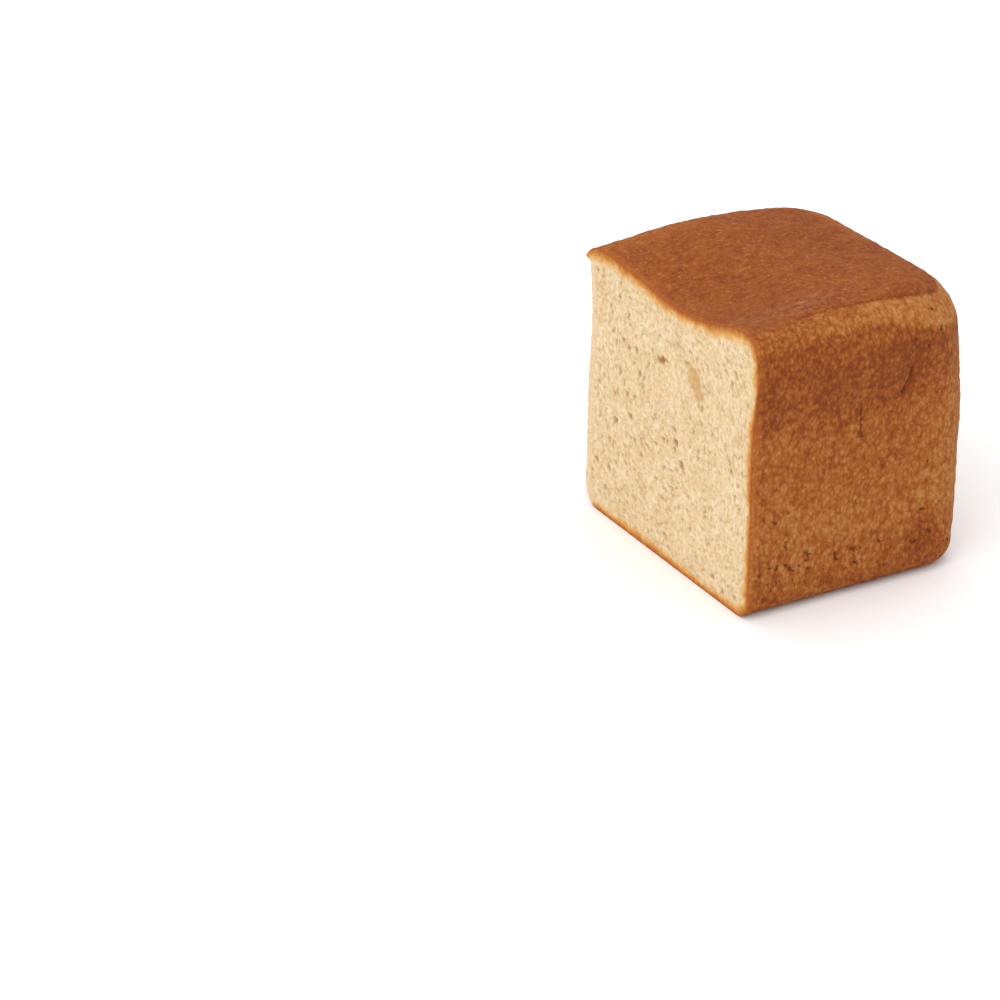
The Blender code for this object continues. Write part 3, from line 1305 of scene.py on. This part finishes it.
@dataclass(frozen=True)
class Pore:
    """A pore: its place across and up, its radius, how deep, dark and long it is and how far it is turned.

    Its closing says how much of it is lost where the crumb is dense. Each wobble of its outline has a number
    of waves, a size and a shift, and its edge is the part of the radius over which it fades out.
    """

    y: float
    z: float
    radius: float
    depth: float = 0.0012
    shade: float = 0.75
    stretch: float = 1.25
    turn: float = 0.0
    closing: float = 0.0
    wobbles: tuple[Spot, ...] = ((3.0, 0.14, 40.0), (5.0, 0.10, 70.0))
    edge: Pair = (0.30, 0.75)

    def share(self, places: Array, layers: float) -> Array:
        """Say how far places lie in the pore.

        Args:
            places: Places on the face, across and up, one in each row.
            layers: The angle in which the crumb's layers run there.

        Returns:
            The pore's share of each place, from 0 to 1.
        """
        off_y, off_z = places[:, 0] - self.y, places[:, 1] - self.z
        angle = layers + self.turn
        along = (off_y * math.cos(angle) + off_z * math.sin(angle)) / (self.radius * self.stretch)
        across = (off_z * math.cos(angle) - off_y * math.sin(angle)) / self.radius
        around = np.arctan2(across, along)
        wobble = sum(size * np.sin(waves * around + shift * self.turn) for waves, size, shift in self.wobbles)
        return 1.0 - rise(np.hypot(along, across) * (1.0 + wobble), self.edge)


@dataclass
class CrumbFace:
    """The knife's cut: open crumb with its pores, creases and the crust's edge round it."""

    place: LoafPlace
    finish: CrumbFinish
    ragged: Ragged
    swirl: Swirl = field(default_factory=Swirl)
    columns: int = 312
    rows: int = 300
    rim_fade: float = 0.0009
    rim_share: float = 1e-6
    skirt_inset: float = 0.0008
    skirt_run: float = 0.0012
    wall_width: float = 0.0048
    top_width: float = 0.0062
    top_edge: Pair = (0.090, 0.008)
    width_lumps: tuple[Lumps, ...] = (Lumps(0.005, 0.40, 41), Lumps(0.0016, 0.30, 42))
    far_edge: Pair = (0.0465, 0.004)
    far_width: float = 0.0060
    far_level: float = 0.8
    far_lumps: Lumps = Lumps(0.004, 0.5, 43)
    fibre_seeds: tuple[int, int] = (31, 34)
    fibre_depth: float = 0.00009
    fibre_shade: float = 0.30
    dense_depth: float = 0.55
    dense_shade: float = 0.6
    grain: Lumps = Lumps(0.0010, 0.00007, 32)
    waves: Lumps = Lumps(0.0070, 0.00018, 33)
    hollow_shade: float = 0.75
    hollow_steepness: float = 1.5
    hollow_lumps: Lumps = Lumps(0.0014, 0.40, 44)
    seed: int = 20
    pore_turn: float = 0.35
    known_pore_turn: float = 0.3
    pore_shades: Pair = (0.6, 1.2)
    pore_closing: float = 0.6
    pore_reach: float = 1.3
    pore_steepness: float = 1.6
    pores_in_hollow: float = 0.2
    pores_from_rim: Pair = (0.0012, 0.0025)
    kinds: tuple[PoreKind, ...] = (
        PoreKind(1500, (0.00038, 0.00062), (1.0, 2.0), 0.00020, 0.32),
        PoreKind(300, (0.00055, 0.00095), (1.1, 2.3), 0.00040, 0.50),
        PoreKind(34, (0.00085, 0.00130), (1.1, 1.8), 0.00070, 0.66),
    )
    known_pores: tuple[Pore, ...] = (
        Pore(-0.0029, 0.0454, 0.0015, 0.0018, 1.0), Pore(-0.0021, 0.0427, 0.0011),
        Pore(-0.0068, 0.0386, 0.0019, 0.0015, 0.80), Pore(-0.0086, 0.0366, 0.0011, 0.0008, 0.5),
        Pore(0.0047, 0.0435, 0.0011), Pore(0.0183, 0.0321, 0.0012),
        Pore(0.0224, 0.0693, 0.0014), Pore(-0.0372, 0.0811, 0.0011, 0.0010, 0.6),
        Pore(-0.0218, 0.0809, 0.0011, 0.0007, 0.4), Pore(0.0351, 0.0487, 0.0012, 0.0009, 0.55),
        Pore(0.0253, 0.0438, 0.0013), Pore(0.0350, 0.0384, 0.0016),
        Pore(0.0101, 0.0500, 0.0012, 0.0009, 0.5), Pore(-0.0174, 0.0483, 0.0011, 0.0009, 0.6),
        Pore(-0.0144, 0.0540, 0.0010, 0.0008, 0.5), Pore(0.0387, 0.0296, 0.0013, 0.0009, 0.55),
        Pore(0.0227, 0.0358, 0.0013, 0.0009, 0.5), Pore(0.0384, 0.0188, 0.0013, 0.0009, 0.55),
        Pore(0.0402, 0.0107, 0.0012, 0.0009, 0.6), Pore(0.0064, 0.0720, 0.0016, 0.0010, 1.0, 2.2),
        Pore(0.0087, 0.0716, 0.0011, 0.0008, 0.9), Pore(0.0035, 0.0732, 0.0011, 0.0007, 0.8),
        Pore(-0.0198, 0.0730, 0.0010, 0.0008, 0.5), Pore(-0.0193, 0.0650, 0.0011, 0.0008, 0.45),
        Pore(0.0318, 0.0580, 0.0012, 0.0009, 0.6, 2.2), Pore(0.0292, 0.0546, 0.0011, 0.0008, 0.5, 1.8),
    )

    def build(self) -> None:
        """Make the face with its skirt and hand it over."""
        piece = as_object("crumb_face", self.grid())
        mesh = piece.data
        flat = read(mesh, "co")
        shares = np.zeros_like(flat)
        shares[:, 1:] = np.clip(flat[:, :2] + 0.5, 0.0, 1.0)
        on_skirt = flat[:, 2] > 0.5
        base = self.place.surface(shares)
        rim_distance, rim_place = self.rim(base, shares, on_skirt)
        pore_share, pore_depth = self.pores(base, rim_distance)
        fade = self.ragged.fade(base, rim_distance, self.rim_fade)
        points = base + self.ragged.shift(base)
        points[:, 0] += (pore_depth + self.unevenness(base)) * fade
        points[on_skirt] = self.skirt(points[on_skirt], base)
        move_to(mesh, points)
        store(mesh, Mark.PORE, pore_share * fade)
        store(mesh, Mark.SECTION, self.section(base, rim_distance, rim_place))
        far_share = np.clip(1.0 - rim_distance / self.far_width, 0.0, 1.0)
        far_share *= (self.far_level + self.far_lumps.at(base)) * self.far_skin(rim_place)
        store(mesh, Mark.FAR_SKIN, np.clip(far_share, 0.0, 1.0))
        places = base[:, 1:]
        fibres = self.swirl.fibres(places, self.fibre_seeds[1]) * self.fibre_shade
        store(mesh, Mark.FIBRE, fibres * (1.0 - self.dense_shade * self.swirl.inside(places)))
        hollow = smooth(self.hollow_steepness * self.swirl.hollow(places))
        store(mesh, Mark.HOLLOW, hollow * (self.hollow_shade + self.hollow_lumps.at(base)))
        hand_over(piece, self.finish.material())

    def grid(self) -> bmesh.types.BMesh:
        """Make an even grid with one more ring of faces folded back behind its edge.

        Returns:
            The grid.
        """
        shaped = bmesh.new()
        bmesh.ops.create_grid(shaped, x_segments=self.columns, y_segments=self.rows, size=0.5)
        rim = [edge for edge in shaped.edges if edge.is_boundary]
        made = bmesh.ops.extrude_edge_only(shaped, edges=rim)
        folded = [item for item in made["geom"] if isinstance(item, bmesh.types.BMVert)]
        bmesh.ops.translate(shaped, verts=folded, vec=(0.0, 0.0, 1.0))
        bmesh.ops.reverse_faces(shaped, faces=[face for face in shaped.faces if face.normal.z > 0.5])
        return shaped

    def rim(self, base: Array, shares: Array, on_skirt: Array) -> tuple[Array, Array]:
        """Find the nearest place of the cut's edge.

        Args:
            base: The face's points.
            shares: Their shares of the way along, across and up.
            on_skirt: Which of them belong to the folded ring.

        Returns:
            Each point's distance from the edge, and the place of the edge that is nearest to it.
        """
        outermost = (shares[:, 1:] < self.rim_share) | (shares[:, 1:] > 1.0 - self.rim_share)
        edge = outermost.any(axis=1) & ~on_skirt
        tree = kdtree.KDTree(int(edge.sum()))
        for index, point in enumerate(base[edge].tolist()):
            tree.insert(point, index)
        tree.balance()
        found = [tree.find(point) for point in base.tolist()]
        return np.array([item[2] for item in found]), np.array([tuple(item[0]) for item in found])

    def skirt(self, points: Array, base: Array) -> Array:
        """Fold the outer ring back just inside the crust, so that nothing shows through the joint.

        Args:
            points: The ring's points.
            base: The whole face's points.

        Returns:
            The ring's new points.
        """
        middle = base.mean(axis=0)
        inwards = middle[1:] - points[:, 1:]
        inwards /= np.hypot(*inwards.T)[:, None]
        folded = points.copy()
        folded[:, 0] += self.skirt_run
        folded[:, 1:] += inwards * self.skirt_inset
        return folded

    def unevenness(self, base: Array) -> Array:
        """Say how far the knife's face sinks in between its pores.

        Args:
            base: The face's points.

        Returns:
            The depth at each point.
        """
        calm = 1.0 - self.dense_depth * self.swirl.inside(base[:, 1:])
        fibres = self.swirl.fibres(base[:, 1:], self.fibre_seeds[0]) * self.fibre_depth
        return (fibres + self.grain.at(base)) * calm + self.waves.at(base)

    def drawn_pores(self, low: Array, high: Array) -> list[Pore]:
        """Draw the many small pores at random, and turn the known ones a little.

        Args:
            low: The face's lowest place, across and up.
            high: Its highest place.

        Returns:
            All pores.
        """
        draw = np.random.default_rng(self.seed)
        drawn = []
        for kind in self.kinds:
            for _ in range(kind.count):
                y, z = draw.uniform(low, high)
                radius = draw.uniform(*kind.radius)
                stretch = draw.uniform(*kind.stretch)
                turn = draw.normal(0.0, self.pore_turn)
                shade = kind.shade * draw.uniform(*self.pore_shades)
                drawn.append(Pore(y, z, radius, kind.depth, shade, stretch, turn, self.pore_closing))
        for pore in self.known_pores:
            drawn.append(replace(pore, turn=draw.normal(0.0, self.known_pore_turn)))
        return drawn

    def pores(self, base: Array, rim_distance: Array) -> tuple[Array, Array]:
        """Stamp the pores, the arched crease and the long hollow.

        Args:
            base: The face's points.
            rim_distance: Their distances from the cut's edge.

        Returns:
            Each point's share of a pore, from 0 to 1, and the pore's depth there.
        """
        places = base[:, 1:]
        share, depth = np.zeros(len(base)), np.zeros(len(base))
        inside = self.swirl.inside(places)
        order = np.argsort(places[:, 1], kind="stable")
        sorted_z = places[order, 1]
        drawn = self.drawn_pores(places.min(axis=0), places.max(axis=0))
        directions = self.swirl.directions(np.array([(pore.y, pore.z) for pore in drawn]))
        for pore, layers in zip(drawn, directions):
            reach = pore.radius * pore.stretch * self.pore_reach
            first, last = np.searchsorted(sorted_z, (pore.z - reach, pore.z + reach))
            near = order[first:last]
            near = near[np.abs(places[near, 0] - pore.y) < reach]
            found = pore.share(places[near], layers) * (1.0 - pore.closing * inside[near])
            share[near] = np.maximum(share[near], found * pore.shade)
            depth[near] = np.maximum(depth[near], found**self.pore_steepness * pore.depth)
        arch, hollow = self.swirl.arch(places), self.swirl.hollow(places)
        left = between((1.0, self.pores_in_hollow), hollow)
        share = np.maximum(share * left, arch * self.swirl.arch_shade)
        depth = np.maximum.reduce([depth, arch * self.swirl.arch_depth, hollow * self.swirl.hollow_depth])
        open_crumb = rise(rim_distance, self.pores_from_rim)
        return share * open_crumb, depth * open_crumb

    def section(self, base: Array, rim_distance: Array, rim_place: Array) -> Array:
        """Say how far each point is on its way from crumb, 0, to the crust's outside, 1.

        Args:
            base: The face's points.
            rim_distance: Their distances from the cut's edge.
            rim_place: The places of the edge that are nearest to them.

        Returns:
            The way from crumb to crust, which the far wall's own pale skin replaces.
        """
        uneven = 1.0 + sum(lumps.at(base) for lumps in self.width_lumps)
        width = between((self.wall_width, self.top_width), rise(rim_place[:, 2], self.top_edge)) * uneven
        return (1.0 - self.far_skin(rim_place)) * np.clip(1.0 - rim_distance / width, 0.0, 1.0)

    def far_skin(self, rim_place: Array) -> Array:
        """Say which places of the cut's edge lie along the far wall, where the crust is thin and pale."""
        return rise(rim_place[:, 1], self.far_edge) * (1.0 - rise(rim_place[:, 2], self.top_edge))


@dataclass(frozen=True)
class Lamp:
    """A square soft light: its name, where it hangs, the length of its side and its power in watts."""

    name: str
    place: Spot
    size: float
    power: float

    def hang(self, target: Spot) -> None:
        """Hang the light so that it looks at a target."""
        light = bpy.data.lights.new(self.name, "AREA")
        light.shape = "SQUARE"
        light.size = self.size
        light.energy = self.power
        holder = bpy.data.objects.new(self.name, light)
        holder.location = self.place
        holder.rotation_euler = (Vector(target) - Vector(self.place)).to_track_quat("-Z", "Y").to_euler()
        bpy.context.scene.collection.objects.link(holder)


@dataclass(frozen=True)
class Studio:
    """The camera, the light and the floor."""

    camera_place: Spot = (-0.71002, -1.05388, 0.64233)
    camera_turn: float = 29.673
    camera_tilt: float = 26.443
    focal_pixels: float = 4148.0
    picture_pixels: float = 1000.0
    sensor: float = 36.0
    clip_start: float = 0.01
    floor_size: float = 14.0
    floor_white: float = 0.98
    floor_roughness: float = 0.9
    floor_specular: float = 0.1
    sky: float = 0.90
    lamps: tuple[Lamp, ...] = (
        Lamp("key_light", (-1.5, -0.7, 1.5), 1.9, 19.0),
        Lamp("top_light", (0.2, 0.3, 1.9), 1.6, 7.0),
    )
    lamp_target: Spot = (0.0, 0.0, 0.05)

    def camera(self) -> None:
        """Set the camera where the photograph was taken from."""
        lens = bpy.data.cameras.new("camera")
        lens.sensor_width = self.sensor
        lens.lens = self.sensor * self.focal_pixels / self.picture_pixels
        lens.clip_start = self.clip_start
        holder = bpy.data.objects.new("camera", lens)
        turn, tilt = math.radians(self.camera_turn), math.radians(self.camera_tilt)
        view = Vector((math.sin(turn) * math.cos(tilt), math.cos(turn) * math.cos(tilt), -math.sin(tilt)))
        holder.location = self.camera_place
        holder.rotation_euler = view.to_track_quat("-Z", "Y").to_euler()
        bpy.context.scene.collection.objects.link(holder)
        bpy.context.scene.camera = holder

    def floor(self) -> None:
        """Lay the white floor."""
        shaped = bmesh.new()
        bmesh.ops.create_grid(shaped, x_segments=2, y_segments=2, size=self.floor_size / 2)
        floor = as_object("floor", shaped)
        white, shader = plain_material("floor_white", self.floor_roughness, self.floor_specular)
        shader.inputs["Base Color"].default_value = (*(self.floor_white,) * 3, 1.0)
        floor.data.materials.append(white)

    def world(self) -> None:
        """Fill the room with even white light."""
        world = bpy.data.worlds.new("studio")
        world.use_nodes = True
        sky = world.node_tree.nodes["Background"]
        sky.inputs["Color"].default_value = (1.0, 1.0, 1.0, 1.0)
        sky.inputs["Strength"].default_value = self.sky
        bpy.context.scene.world = world
        bpy.context.scene.view_settings.view_transform = "Standard"

    def build(self) -> None:
        """Set up the whole studio."""
        self.camera()
        self.floor()
        self.world()
        for lamp in self.lamps:
            lamp.hang(self.lamp_target)
        LOG.info("studio ready")


def main() -> None:
    """Build the studio and the loaf's pieces in order."""
    logging.basicConfig(level=logging.INFO, format="%(name)s: %(message)s")
    Studio().build()
    place = LoafPlace.fitted(TinForm())
    groups = NodeGroups()
    ragged = Ragged()
    CrustShell(place, CrustFinish(groups), ragged).build()
    CrumbFace(place, CrumbFinish(groups), ragged).build()


if __name__ == "__main__":
    main()
